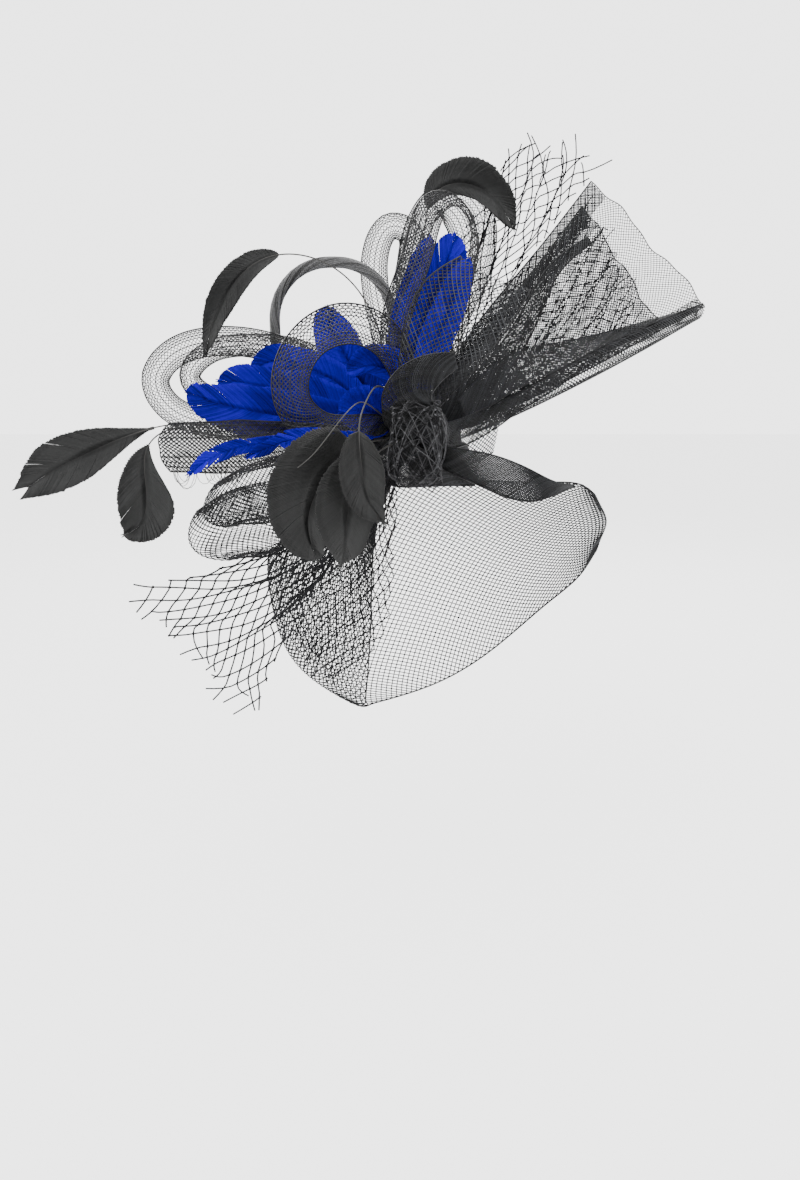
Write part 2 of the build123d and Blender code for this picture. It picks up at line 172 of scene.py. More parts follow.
class Threads:
    """Gathers thin closed tubes into one mesh, with a tone from 0 to 1 on each for its material."""

    def __init__(self, name):
        self.rng = np.random.default_rng(zlib.crc32(name.encode()))
        self.points = []
        self.faces = []
        self.tones = []
        self.parts = []
        self.total = 0
        self.flat_area = 0.0

    def add(self, points, normals, wide, high=None, sides=3, tone=None, part=0):
        """A tube along points, wide across and high along the normals: half sizes, one or many."""
        count = len(points)
        wide = np.broadcast_to(wide, count)[:, None]
        high = wide if high is None else np.broadcast_to(high, count)[:, None]
        ahead = unit(np.gradient(points, axis=0))
        side = unit(np.cross(ahead, normals))
        up = np.cross(side, ahead)
        angles = math.pi / 2 + TURN * np.arange(sides) / sides
        ring = np.stack([side * wide * math.cos(x) + up * high * math.sin(x) for x in angles], axis=1)
        first = np.arange(count - 1)[:, None] * sides
        this = first + np.arange(sides)
        following = first + (np.arange(sides) + 1) % sides
        walls = np.concatenate([
            np.stack([this, following + sides, following], axis=-1).reshape(-1, 3),
            np.stack([this, this + sides, following + sides], axis=-1).reshape(-1, 3),
        ])
        fan = np.stack([np.zeros(sides - 2, int), np.arange(1, sides - 1), np.arange(2, sides)], axis=-1)
        caps = np.concatenate([fan, fan[:, ::-1] + (count - 1) * sides])
        faces = np.concatenate([walls, caps])
        tone = self.rng.random() if tone is None else tone
        self.points.append((points[:, None] + ring).reshape(-1, 3))
        self.faces.append(faces + self.total)
        self.tones.append(np.repeat(np.broadcast_to(tone, count), sides))
        self.parts.append(np.full(len(faces), part))
        self.total += count * sides

    def make(self, name, materials, slot, *nodes, body="headpiece"):
        """The piece, riding on its body and standing for these CAD nodes."""
        points = np.concatenate(self.points) * MM
        faces = np.concatenate(self.faces)
        mesh = bpy.data.meshes.new(name)
        mesh.vertices.add(len(points))
        mesh.vertices.foreach_set("co", points.astype(np.float32).ravel())
        mesh.loops.add(faces.size)
        mesh.loops.foreach_set("vertex_index", faces.astype(np.int32).ravel())
        mesh.polygons.add(len(faces))
        mesh.polygons.foreach_set("loop_start", np.arange(0, faces.size, 3, dtype=np.int32))
        mesh.polygons.foreach_set("material_index", np.concatenate(self.parts).astype(np.int32))
        mesh.polygons.foreach_set("use_smooth", np.ones(len(faces), bool))
        mesh.update(calc_edges=True)
        tone = mesh.attributes.new("tone", "FLOAT", "POINT")
        tone.data.foreach_set("value", np.concatenate(self.tones).astype(np.float32))
        piece = bpy.data.objects.new(name, mesh)
        bpy.context.scene.collection.objects.link(piece)
        for m in materials:
            mesh.materials.append(m)
        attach(piece, body)
        if nodes:
            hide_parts(*nodes)
        return piece


SHORTEST = 0.2  # the shortest thread that is made, over the pitch


def bias_lines(length, width, pitch, slant=1.0):
    """Flat end points of the threads of both slanting directions, as (start, end, direction)."""
    lines = []
    reach = width * slant
    for low in np.arange(-reach + pitch / 2, length, pitch):
        start = np.array([max(low, 0.0), max(0.0, -low / slant)])
        end = np.array([min(low + reach, length), min(width, (length - low) / slant)])
        if end[0] - start[0] > pitch * SHORTEST:
            lines.append((start, end, 1))
            flip = np.array([0.0, width])
            lines.append((np.abs(flip - start), np.abs(flip - end), -1))
    return lines


def crossings(length, width, pitch, slant):
    """Flat points where the slanting threads of both directions cross."""
    reach = width * slant
    lows = np.arange(-reach + pitch / 2, length, pitch)
    for one in lows:
        for other in lows:
            x, y = (one + other + reach) / 2, ((other - one) / slant + width) / 2
            if 0 <= x <= length and 0 <= y <= width:
                yield x, y


# ---------------------------------------------------------------- materials

def material(name, dark, light, rough, patch=40.0, grain=900.0, bump=0.25, metallic=0.0,
             sheen=0.0, sheen_tint=(1, 1, 1), coat=0.0, specular=0.5, by_tone=0.6):
    """A surface between two colours by its threads' tone and a soft noise, with a fine grain."""
    made = bpy.data.materials.new(name)
    made.use_nodes = True
    tree = made.node_tree
    shader = tree.nodes["Principled BSDF"]
    place = tree.nodes.new("ShaderNodeTexCoord")
    patches = tree.nodes.new("ShaderNodeTexNoise")
    patches.inputs["Scale"].default_value = patch
    patches.inputs["Detail"].default_value = 4.0
    fine = tree.nodes.new("ShaderNodeTexNoise")
    fine.inputs["Scale"].default_value = grain
    fine.inputs["Detail"].default_value = 3.0
    tone = tree.nodes.new("ShaderNodeAttribute")
    tone.attribute_name = "tone"
    share = tree.nodes.new("ShaderNodeMix")
    share.inputs[0].default_value = by_tone
    ramp = tree.nodes.new("ShaderNodeValToRGB")
    ramp.color_ramp.elements[0].position = 0.25
    ramp.color_ramp.elements[0].color = (*dark, 1)
    ramp.color_ramp.elements[1].position = 0.8
    ramp.color_ramp.elements[1].color = (*light, 1)
    polish = tree.nodes.new("ShaderNodeMapRange")
    polish.inputs["To Min"].default_value = rough * 0.8
    polish.inputs["To Max"].default_value = min(1.0, rough * 1.25)
    relief = tree.nodes.new("ShaderNodeBump")
    relief.inputs["Strength"].default_value = bump
    relief.inputs["Distance"].default_value = 0.0003
    link = tree.links.new
    link(place.outputs["Object"], patches.inputs["Vector"])
    link(place.outputs["Object"], fine.inputs["Vector"])
    link(patches.outputs["Fac"], share.inputs[2])
    link(tone.outputs["Fac"], share.inputs[3])
    link(share.outputs[0], ramp.inputs["Fac"])
    link(ramp.outputs["Color"], shader.inputs["Base Color"])
    link(fine.outputs["Fac"], polish.inputs["Value"])
    link(polish.outputs["Result"], shader.inputs["Roughness"])
    link(fine.outputs["Fac"], relief.inputs["Height"])
    link(relief.outputs["Normal"], shader.inputs["Normal"])
    shader.inputs["Metallic"].default_value = metallic
    shader.inputs["Specular IOR Level"].default_value = specular
    shader.inputs["Sheen Weight"].default_value = sheen
    shader.inputs["Sheen Tint"].default_value = (*sheen_tint, 1)
    shader.inputs["Coat Weight"].default_value = coat
    return made


CRIN = material("crinoline_black", (0.001, 0.001, 0.0013), (0.022, 0.023, 0.025), 0.4, specular=0.2)
CRIN_GREY = material("crinoline_grey", (0.006, 0.0065, 0.007), (0.04, 0.042, 0.043), 0.42, specular=0.2)
TUBE = material("crinoline_tube", (0.012, 0.012, 0.012), (0.13, 0.13, 0.132), 0.3, specular=0.4)
NET = material("netting_black", (0.001, 0.001, 0.0013), (0.01, 0.01, 0.012), 0.6, specular=0.1)
NET_GREY = material("netting_grey", (0.001, 0.001, 0.0013), (0.055, 0.055, 0.058), 0.5, specular=0.1,
                    by_tone=0.9)
BLUE = material("feather_blue", (0.002, 0.0, 0.05), (0.012, 0.0, 0.34), 0.65, patch=60, bump=0.15,
                specular=0.04)
BLUE_QUILL = material("quill_blue", (0.001, 0.0, 0.03), (0.004, 0.0, 0.16), 0.5, specular=0.05)
COQUE = material("feather_black", (0.0008, 0.0009, 0.0009), (0.007, 0.0074, 0.0072), 0.45, patch=50,
                 specular=0.3)
QUILL = material("quill_horn", (0.002, 0.002, 0.002), (0.03, 0.029, 0.027), 0.4, patch=30, specular=0.2)
FELT = material("felt_black", (0.003, 0.003, 0.0035), (0.014, 0.014, 0.016), 0.95, patch=500,
                grain=3000, bump=0.9, sheen=0.04, specular=0.15, by_tone=0.0)
LINING = material("lining_grosgrain", (0.004, 0.004, 0.0045), (0.018, 0.018, 0.02), 0.7, patch=300,
                  grain=1500, bump=0.6, sheen=0.05, specular=0.2, by_tone=0.0)
SEWING = material("sewing_thread", (0.01, 0.01, 0.011), (0.06, 0.06, 0.066), 0.55)
STEEL = material("clip_enamel", (0.01, 0.01, 0.011), (0.05, 0.05, 0.055), 0.32, patch=120,
                 grain=2200, bump=0.12, metallic=0.6, coat=0.3, by_tone=0.0)
SPRING = material("spring_steel", (0.25, 0.25, 0.26), (0.55, 0.55, 0.57), 0.25, patch=300,
                  grain=2500, bump=0.1, metallic=1.0, by_tone=0.0)


# ---------------------------------------------------------------- crinoline

CRIN_R = 0.26  # a woven thread's radius
EDGE_R = 0.4  # an edge cord's radius
GIRTH = 3 * math.sqrt(3)  # a three-sided thread's girth over its radius
SEGMENT = 2.4  # the longest straight piece of a thread
STAND_OFF = 0.9  # how far each direction's threads lie off the cloth's middle, over their radius
LAYER_GAP = 1.1  # between two layers of one cloth
LAYER_SHIFT = 0.37  # a second layer's shift along, over the pitch
HEM_PITCH = 0.6  # a turned hem's pitch, over its cloth's
HEM_LIFT = 1.2  # how far a turned hem stands off
LINE_R = 1.2  # a lengthways line's radius, over a thread's
END_R = 1.5  # a cord's across an end, over a thread's
EDGE_TONE, END_TONE, LINE_TONE = 0.1, 0.2, 0.3
FRAY_LOOPS = 16
FRAY_R = 0.15  # the radius of a loose thread at the band's end


def lay(threads, at, start, end, offset, radius, extra=None, tone=None, segment=SEGMENT):
    """One thread over the cloth between two flat points, stood off its face by offset."""
    count = max(2, int(np.linalg.norm(end - start) / segment) + 1)
    threads.flat_area += np.linalg.norm(end - start) * GIRTH * radius / 2
    share = np.linspace(0, 1, count)[:, None]
    flat = start + (end - start) * share
    points, normals = at(flat[:, 0] / at.length, flat[:, 1] / at.width)
    points = points + normals * offset
    if extra is not None:
        points = np.concatenate([points, extra(points)])
        normals = np.concatenate([normals, np.repeat(normals[-1:], len(points) - len(normals), axis=0)])
    threads.add(points, normals, radius, tone=tone)


def weave(node, at, pitch, radius=CRIN_R, edges=(0.0, 1.0), lines=(), hems=(), layers=1,
          look=CRIN, ends=(), more=(), stands_in=True):
    """Crinoline on the bias: slanting threads, lengthways edge cords and lines, and turned hems.
    hems are strips of the width, as (from, to), that a second layer covers. ends are places along
    it with a cord across, and more is further cloth of the same piece, as (cloth, pitch). A piece
    that doesn't stand in for a CAD node is an extra dense sheet laid over its neighbours, which
    darkens them; where it follows a fold or a hem that darkening is painted shade."""
    threads = Threads(node)
    for layer in range(layers):
        drop = layer * LAYER_GAP
        for start, end, way in bias_lines(at.length, at.width, pitch):
            shift = np.array([pitch * LAYER_SHIFT * layer, 0.0])
            lay(threads, at, start + shift, end + shift, way * radius * STAND_OFF - drop, radius)
    for further, its_pitch in more:
        for start, end, way in bias_lines(further.length, further.width, its_pitch):
            lay(threads, further, start, end, way * radius * STAND_OFF, radius)
        full = np.array([further.length, 0.0])
        for side in (0.0, further.width):
            level = np.array([0.0, side])
            lay(threads, further, level, level + full, 0.0, EDGE_R, tone=EDGE_TONE)
    for place in ends:
        level = np.array([place * at.length, 0.0])
        lay(threads, at, level, level + np.array([0.0, at.width]), 0.0, radius * END_R, tone=END_TONE)
    for low, high in hems:
        base = np.array([0.0, low * at.width])
        for start, end, way in bias_lines(at.length, (high - low) * at.width, pitch * HEM_PITCH):
            lay(threads, at, start + base, end + base, way * radius + HEM_LIFT, radius)
    full = np.array([at.length, 0.0])
    for place in edges:
        level = np.array([0.0, place * at.width])
        lay(threads, at, level, level + full, 0.0, EDGE_R, tone=EDGE_TONE)
    for place in lines:
        level = np.array([0.0, place * at.width])
        lay(threads, at, level, level + full, 0.0, radius * LINE_R, tone=LINE_TONE)
    piece = threads.make(f"{node}_weave", [look], "crinoline", *([node] if stands_in else []))


def waves(*terms):
    """Ripples that grow along the cloth: each term is (height, waves across, waves along, start)."""
    def ripple(s, t):
        grown = np.sin(np.clip(s, 0, 1) * math.pi / 2) ** 1.5
        return grown * sum(h * np.sin(TURN * (m * t + n * s) + p) for h, m, n, p in terms)
    return ripple


WING_FRONT = panel(
    [(-9, -20, 6.5), (-9, -27, 6), (-10, -30, 3), (-33, -37, -14), (-51, -41, -27), (-62, -43, -39)],
    [(1, -20, 6.5), (1, -27, 6), (-3, -30, 1), (-18, -38, -34), (-20, -43, -70), (-23, -46, -111)],
)
WING_BACK = panel(
    [(-62, -37, -41), (-34, -32, -19), (2, -30, -9), (40, -33, -11), (64, -34, -11), (75, -34, -12.5),
     (80.5, -34, -16.5)],
    [(-20, -40, -113), (8, -45, -102), (36, -47, -83), (60, -46, -62), (74, -43, -50), (80.5, -39, -41)],
)
WING_CURL = panel(
    [(70, -35, -12), (62, -39, -10.5), (50, -42, -5), (31, -42, 2), (15, -41, 4.5), (5, -36, 6),
     (2, -24, 8)],
    [(70, -35, -13), (63, -41, -14.5), (52, -44, -18), (38, -44, -16), (24, -43, -10), (11, -39, -4),
     (5, -24, 4)],
)
WING_ROOT = panel(
    [(-19, -29, 8), (-10, -33, 8), (-1, -37, 6), (9, -39, -1), (24, -38, -10)],
    [(-18, -34, -8), (-11, -36, -12), (-1, -39, -12.5), (10, -39, -12), (26, -38, -12)],
)
WING_CORNER = panel(
    [(24, -22, 9), (31, -21, 12), (38, -20, 14)],
    [(24, -22, -4), (30, -22, -2), (35.5, -20, 1.4)],
)
WING_OUT = (-0.86, 0, -0.5)
WING = np.concatenate([WING_FRONT, half_turn(WING_FRONT[-1], WING_BACK[0], WING_OUT), WING_BACK])
WING_SWELLS = [(len(WING_FRONT) + 2, WING_OUT, 16, 0, 42), (len(WING) - 1, (1, 0, 0), 4, -0.5, 9)]
WING_MORE = [(cloth(WING_CURL), 0.9), (cloth(WING_ROOT), 0.85), (cloth(WING_CORNER), 2.0)]
weave("crin_wing", cloth(WING, waves((1.2, 1.5, 3.0, 0.4)), swells=WING_SWELLS), 2.6,
      radius=0.27, more=WING_MORE)

LOBE_OUT = (-0.87, 0, -0.5)
UPPER_FRONT = panel(
    [(-15, -16, 9), (-21, -34, 5), (-34, -52, 3), (-52, -64, 3), (-70, -66, -2), (-86, -63, -11)],
    [(-14, -17, 7), (-18, -36, 1), (-32, -54, -9), (-46, -64, -18), (-62, -66, -25), (-78, -62, -28)],
)
UPPER_BACK = panel(
    [(-86, -58, -11), (-70, -57, -3), (-52, -57, 2), (-36, -48, 3)],
    [(-78, -57, -28), (-62, -57, -24), (-46, -57, -17), (-34, -49, -7)],
)
LOWER_FRONT = panel(
    [(-12, -18, 7), (-17, -30, 6), (-30, -46, 0), (-52, -53, -7), (-76, -54, -12), (-98, -52, -24)],
    [(-10, -19, 6), (-15, -32, 4), (-28, -47, -13), (-44, -53, -27), (-62, -54, -40), (-82, -51, -45)],
)
LOWER_BACK = panel(
    [(-98, -48, -24), (-76, -48, -13), (-52, -48, -9), (-38, -45, -7)],
    [(-82, -47, -45), (-62, -48, -39), (-44, -48, -28), (-34, -44, -18)],
)
for node, front, back, swell in (
    ("crin_lobe_upper", UPPER_FRONT, UPPER_BACK, 5.0), ("crin_lobe_lower", LOWER_FRONT, LOWER_BACK, 6.0),
):
    sections = np.concatenate([front, half_turn(front[-1], back[0], LOBE_OUT), back])
    rounding = (len(front) + 2, LOBE_OUT, swell, -swell * 1.2, 20)
    weave(node, cloth(sections, waves((0.8, 1.0, 2.0, 0.0)), swells=[rounding]), 2.3,
          radius=0.2, lines=(0.035, 0.07, 0.93, 0.965))

FAN_BACK = panel(
    [(3, 8, 16), (27, 14, 56), (55, 18, 90), (84, 24, 126)],
    [(14, 6, 10), (51, 6, 23), (93, 8, 44), (138, 10, 68)],
)
weave("crin_fan_back", cloth(FAN_BACK, waves((2.6, 2.0, 0.2, 0.0), (1.0, 5.0, 0.4, 1.0))), 1.7,
      hems=((0.0, 0.13), (0.93, 1.0)), ends=(1.0,), radius=0.18)
FAN_FRONT = panel(
    [(4, -4, 18), (29, -8, 52), (51, -12, 80), (72, -14, 107)],
    [(14, -8, 10), (45, -20, 19), (76, -26, 39), (104, -26, 58)],
)
FAN_ROOT = panel(
    [(6, -12, 20), (20, -14, 36), (34, -15, 54)],
    [(14, -14, 11), (34, -24, 18), (50, -27, 32)],
)
# A dense strip of crinoline laid over the fan front along a fold, darkening it there: painted fold shadow
FAN_FOLD_SHADE = strip(
    [(18, -14, 20), (41, -17.5, 44.5), (52, -17.5, 64), (60.5, -17, 80), (75.5, -17, 92)],
    [8, 10.5, 9, 6, 3],
)
weave("crin_fan_front", cloth(FAN_FRONT, waves((3.2, 2.5, 0.1, 0.6), (1.0, 6.0, 0.2, 2.0))), 1.4,
      hems=((0.0, 0.13),), ends=(1.0,), radius=0.2)
weave("crin_fan_root", cloth(FAN_ROOT), 0.9, radius=0.17, stands_in=False)
# The fold strip, woven densely: painted fold shadow, not a pleat of cloth of its own
weave("crin_fan_pleat", cloth(FAN_FOLD_SHADE), 0.9, radius=0.17, stands_in=False)
FAN_HEM = panel(
    [(14, -16, 8), (45, -33, 28), (78, -34, 46), (130, -8, 67)],
    [(16, -14, 5), (46, -29, 19), (84, -30, 38), (130, -4, 61)],
)
# A dense strip of crinoline laid along the fan's lower hem, widest towards the root, darkening it there:
# painted shade
HEM_SHADE = panel(
    [(19, -18, 24), (40, -22, 43), (68, -22, 50), (97, -22, 57), (127, -9, 65)],
    [(22, -28, 14), (45, -35, 30), (64, -35, 38), (98, -28, 51.5), (124, -10, 62)],
)
HEM_ROOT = panel(
    [(48, -32, 29), (30, -32, 21), (18, -34, 16), (6, -36, 13)],
    [(46, -30, 20.5), (28, -31, 8), (17, -33, 4), (6, -35, 2)],
)
weave("crin_fan_hem", cloth(FAN_HEM, wrap=1.6), 1.5, edges=(0.0, 0.5), lines=(0.08, 0.42, 0.58, 0.92),
      radius=0.2)
weave("crin_hem_root", cloth(HEM_ROOT, waves((0.8, 1.0, 2.0, 0.0))), 1.2, radius=0.2, stands_in=False)
# The hem strip, woven densely: painted shade along the hem, not a fold of cloth of its own
weave("crin_hem_fold", cloth(HEM_SHADE), 1.1, radius=0.2, stands_in=False)
CONE = panel(
    [(1, -16, 15), (-6, -32, 24), (-7, -46, 42), (2, -46, 70), (18, -38, 82)],
    [(7, -16, 13), (9, -32, 20), (22, -50, 35), (36, -48, 52), (47, -40, 69)],
)
weave("crin_cone", cloth(CONE, waves((3.0, 0.5, 0.0, 0.0))), 2.4, radius=0.23)

# Narrow ribbons: points, then widths
RIBBONS = {
    "crin_loop_left": (
        [(-21, 4, 8), (-44, 5, 7), (-75, 5, 10), (-102, 5, 14), (-118, 5, 21), (-124, 5, 33),
         (-117, 5, 44), (-98, 5, 51), (-74, 5, 50), (-48, 5, 40), (-18, 5, 15)],
        [4, 11, 13, 13, 13, 13, 13, 13, 13, 12, 4],
    ),
    "crin_loop_inner": (
        [(-20, 9, 8), (-46, 10, 17), (-78, 11, 22), (-98, 11, 25), (-109, 11, 35),
         (-100, 11, 46), (-82, 12, 50), (-62, 12, 49), (-39, 12, 39), (-17, 9, 15)],
        [4, 9, 10, 10, 10, 10, 10, 10, 10, 4],
    ),
    "crin_loop_front": (
        [(-11, -18, 14), (-22, -36, 13), (-39, -46, 12), (-51, -51, 23), (-51, -52, 37),
         (-42, -50, 50), (-28, -47, 55), (-14, -44, 50), (-6, -39, 37), (-4, -28, 25), (-3, -15, 18)],
        [4, 10, 14, 15, 15, 15, 16, 15, 12, 8, 4],
    ),
    "crin_loop_pale": (
        [(-4, 20, 12), (-13, 33, 50), (-19, 34, 77), (-19, 35, 96), (-11, 37, 108),
         (-3, 40, 106), (-2, 42, 91), (-6, 41, 64), (-3, 22, 8)],
        [4, 12, 13, 13, 12, 13, 13, 12, 4],
    ),
    "crin_loop_mid": (
        [(-4, -11, 20), (-10, -15, 49), (-7, -14, 66), (0, -12, 85), (4, -8, 100), (10, 3, 110),
         (19, 14, 108), (24, 19, 96), (16, 20, 70), (2, 9, 19)],
        [4, 11, 13, 13, 13, 13, 13, 13, 12, 4],
    ),
    "crin_loop_top": (
        [(3, 20, 11), (-2, 46, 66), (1, 47, 106), (10, 47, 121), (22, 48, 126),
         (33, 50, 118), (36, 52, 102), (24, 53, 69), (8, 20, 8)],
        [4, 12, 13, 13, 13, 13, 13, 12, 4],
    ),
}
RIBBON_LINES = (0.06, 0.13, 0.21, 0.30, 0.5, 0.70, 0.79, 0.87, 0.94)
for node, (points, widths) in RIBBONS.items():
    weave(node, cloth(strip(points, widths)), 1.85, lines=RIBBON_LINES, radius=0.2,
          look=CRIN_GREY if node == "crin_loop_pale" else CRIN)

CUP = strip(
    [(0, -20, 11), (-3, -36, 12), (-4, -50, 20), (-2, -59, 30), (7, -62, 37), (15, -61, 40)],
    [4, 10, 20, 21, 14, 6],
)
weave("crin_cup", cloth(CUP), 1.2, layers=2, radius=0.2)
BAND_END = strip([(-16, -15, 7), (-50, -34, 7), (-80, -42, 5), (-107, -46, 5)], [4, 14, 22, 20])
BAND_SWELLS = [(len(BAND_END) - 1, (-1, 0, 0), 2.5, -2.5, 8)]
BAND_WAVES = waves((2.6, 1.5, 0.9, 0.0), (1.3, 3.0, 4.0, 1.0))
weave("crin_band_end", cloth(BAND_END, BAND_WAVES, swells=BAND_SWELLS), 1.8,
      lines=(0.1, 0.2, 0.3, 0.7, 0.8, 0.9), ends=(1.0,), layers=2, radius=0.22)


def band_fray():
    """Loose threads that curl out of the cut end of the gathered band."""
    threads = Threads("band_fray")
    rng = threads.rng
    for _ in range(FRAY_LOOPS):
        start = np.array([rng.uniform(-106, -76), -45.5, rng.uniform(-5.5, -3.5)])
        size = rng.uniform(3.0, 6.5)
        turn = np.linspace(0, math.pi * rng.uniform(1.1, 1.9), 14)
        swing = np.stack([1 - np.cos(turn), 0.2 * np.sin(2 * turn), -1.3 * np.sin(turn)], axis=-1)
        loop = start + size * swing * (rng.choice((-0.7, 0.7)), 1, 1)
        threads.add(loop, np.repeat(-BACK[None], len(loop), axis=0), FRAY_R)
    threads.make("crin_band_fray", [CRIN], "crinoline")


band_fray()


def rounded(points, radius, steps=10):
    """The path through these points with its corners turned on arcs of this radius."""
    p = np.array(points, float)
    path = [p[0]]
    for before, corner, after in zip(p, p[1:], p[2:]):
        back_way, on_way = unit(before - corner), unit(after - corner)
        half = math.acos(float(back_way @ on_way)) / 2
        centre = corner + unit(back_way + on_way) * radius / math.sin(half)
        first = corner + back_way * radius / math.tan(half) - centre
        last = corner + on_way * radius / math.tan(half) - centre
        for share in np.linspace(0, 1, steps):
            path.append(centre + unit(first * (1 - share) + last * share) * radius)
    path.append(p[-1])
    return np.array(path)


TUBE_R = 2.5
TUBE_THREADS = 40  # in each direction
TUBE_THREAD_R = 0.22
TUBE_INSET = 0.25  # from the tube's face to the braid's middle
TUBE_APART = 0.12  # how far each direction's threads lie off the braid's middle
TUBE_PITCH = 60.0  # how far a thread runs along in one turn
TUBE_POINTS = 26  # points of a thread in one turn
TUBE_BEND = 26.5  # the radius of the ring's corners


def tube_ring():
    """A tube of braided crinoline, bent into a ring: threads wound both ways round its path."""
    corners = [(-13, 16, 7), (-67, 16, 34), (-68, 16, 88), (-12, 16, 88), (-7, 16, 10)]
    path = rounded(corners, TUBE_BEND)
    length = run_of(path)[-1]
    count = int(length / TUBE_PITCH * TUBE_POINTS)
    places = np.linspace(0, length, count)
    centre = along(path, places)
    ahead = unit(np.gradient(centre, axis=0))
    side = unit(np.cross(ahead, BACK))
    threads = Threads("crin_tube_ring")
    for way in (-1, 1):
        for k in range(TUBE_THREADS):
            angle = way * TURN * places / TUBE_PITCH + TURN * k / TUBE_THREADS
            out = side * np.cos(angle)[:, None] + BACK * np.sin(angle)[:, None]
            threads.add(centre + out * (TUBE_R - TUBE_INSET + TUBE_APART * way), out, TUBE_THREAD_R)
    threads.make("crin_tube_ring_braid", [TUBE], "crinoline", "crin_tube_ring")


tube_ring()


# ---------------------------------------------------------------- netting

KNOT_R = 0.65
KNOT_TIP = 0.1  # a knot's half thickness at its two ends
NET_APART = 0.6  # how far each direction's threads lie off the net's middle, over their radius
KNOTS_FROM = 0.15  # the share of the net's length with no knots, where it is gathered
FRAY_FROM = 0.985  # threads that run past this share of the length have a loose tail


STRAY = 0.35  # how far a loose tail turns aside, over its length
TAIL_STEPS = (0.35, 0.7, 1.0)  # places of its points along it


def frayed(rng, reach):
    """A cut thread's tail: it runs on past the cloth and strays."""
    def tail(points):
        ahead = unit(points[-1] - points[-2])
        stray = rng.normal(0, STRAY, 3) * (1, 0.4, 1)
        steps = np.array(TAIL_STEPS)[:, None] * reach * rng.uniform(0.3, 1.0)
        return points[-1] + ahead * steps + stray * steps ** 1.5 / reach ** 0.5
    return tail


def net(node, at, cell, slant, slack, fray, radius, look=NET, segment=3.0):
    """Diamond netting: slanting threads that share their strays, knots where they cross, and a
    frayed far end."""
    threads = Threads(node)
    rng = threads.rng
    phases = rng.uniform(0, TURN, (6, 3))
    waves_in = rng.uniform(1.5, 6.0, (6, 2))

    def slackened(s, t):
        points, normals = at(s, t)
        stray = sum(
            np.sin(TURN * (m * s + n * t)[:, None] + phase) for (m, n), phase in zip(waves_in, phases)
        )
        return points + stray * (slack * np.minimum(1, 3 * s))[:, None] / 3, normals

    slackened.length, slackened.width = at.length, at.width
    for start, end, way in bias_lines(at.length, at.width, cell, slant):
        far = start if start[0] > end[0] else end
        near = end if far is start else start
        tail = frayed(rng, fray) if fray and far[0] > at.length * FRAY_FROM else None
        lay(threads, slackened, near, far, way * radius * NET_APART, radius, extra=tail, segment=segment)
    for x, y in crossings(at.length, at.width, cell, slant):
        if x < KNOTS_FROM * at.length:
            continue
        point, normal = slackened(np.array([x / at.length]), np.array([y / at.width]))
        across = unit(np.cross(normal, BACK + 0.3))
        knot = point + np.array([[-1.0], [0.0], [1.0]]) * across * KNOT_R
        thick = [KNOT_TIP, KNOT_R * 0.75, KNOT_TIP]
        threads.add(knot, np.repeat(normal, 3, axis=0), thick, sides=4)
    piece = threads.make(f"{node}_mesh", [look], "netting", node)


# Each net's two edges, its cell's length, how much longer than wide a cell is, its slack, its fray and
# its thread's radius
NETS = {
    "net_spray_lower": (
        [(-15, -16, 8), (-20, -30, 7), (-27, -47, -11), (-52, -59, -31), (-90, -61, -46),
         (-115, -62, -54)],
        [(-13, -17, 8), (-18, -31, 6), (-23, -47, -16), (-38, -58, -48), (-54, -60, -72),
         (-70, -62, -105)],
        9.5, 1.7, 1.8, 10.0, 0.4,
    ),
    "net_veil": (
        [(-5, -20, 9), (-11, -41, -2), (-37, -47, -30), (-53, -49, -54), (-52, -51, -78)],
        [(-2, -20, 9), (-7, -41, -3), (-10, -45, -43), (-16, -50, -78), (-35, -52, -96)],
        8.0, 1.6, 1.2, 7.0, 0.3,
    ),
    "net_spray_upper": (
        [(11, 16, 11), (14, 34, 73), (28, 36, 109), (44, 38, 140)],
        [(15, 13, 11), (43, 34, 73), (67, 34, 106), (85, 36, 133)],
        9.5, 2.4, 2.2, 14.0, 0.36,
    ),
    "net_in_fan": (
        [(8, 1, 16), (32, 3, 59), (55, 4, 87), (76, 4, 111)],
        [(13, 0, 11), (50, -4, 24), (81, -6, 42), (101, -8, 57)],
        8.0, 2.0, 1.6, 6.0, 0.26,
    ),
}
for node, (edge_a, edge_b, cell, slant, slack, fray, radius) in NETS.items():
    net(node, cloth(panel(edge_a, edge_b)), cell, slant, slack, fray, radius)


TUFT_SEED = 7
TUFT_MIDDLE = np.array([0.0, -48.0, 7.0])
TUFT_REACH = np.array([13.0, 9.0, 20.0])
TUFT_FLAT = (110.0, 50.0)  # the scrap's length and width before it is crushed


def tuft():
    """A scrap of netting crushed into a ball over the glued ends."""
    rng = np.random.default_rng(TUFT_SEED)
    ways = rng.uniform(-1.5, 1.5, (3, 2))
    starts = rng.uniform(0, TURN, 3)

    def at(s, t):
        wave = np.stack([np.sin(TURN * (m * s + n * t) + p) for (m, n), p in zip(ways, starts)], axis=-1)
        wave = wave / np.maximum(1.0, np.linalg.norm(wave, axis=-1, keepdims=True) ** 0.7)
        points = TUFT_MIDDLE + TUFT_REACH * wave
        return points, unit(points - TUFT_MIDDLE)

    at.length, at.width = TUFT_FLAT
    net("net_tuft", at, 7.0, 1.25, 1.2, 0.0, 0.18, look=NET_GREY, segment=1.6)


tuft()


# ---------------------------------------------------------------- feathers

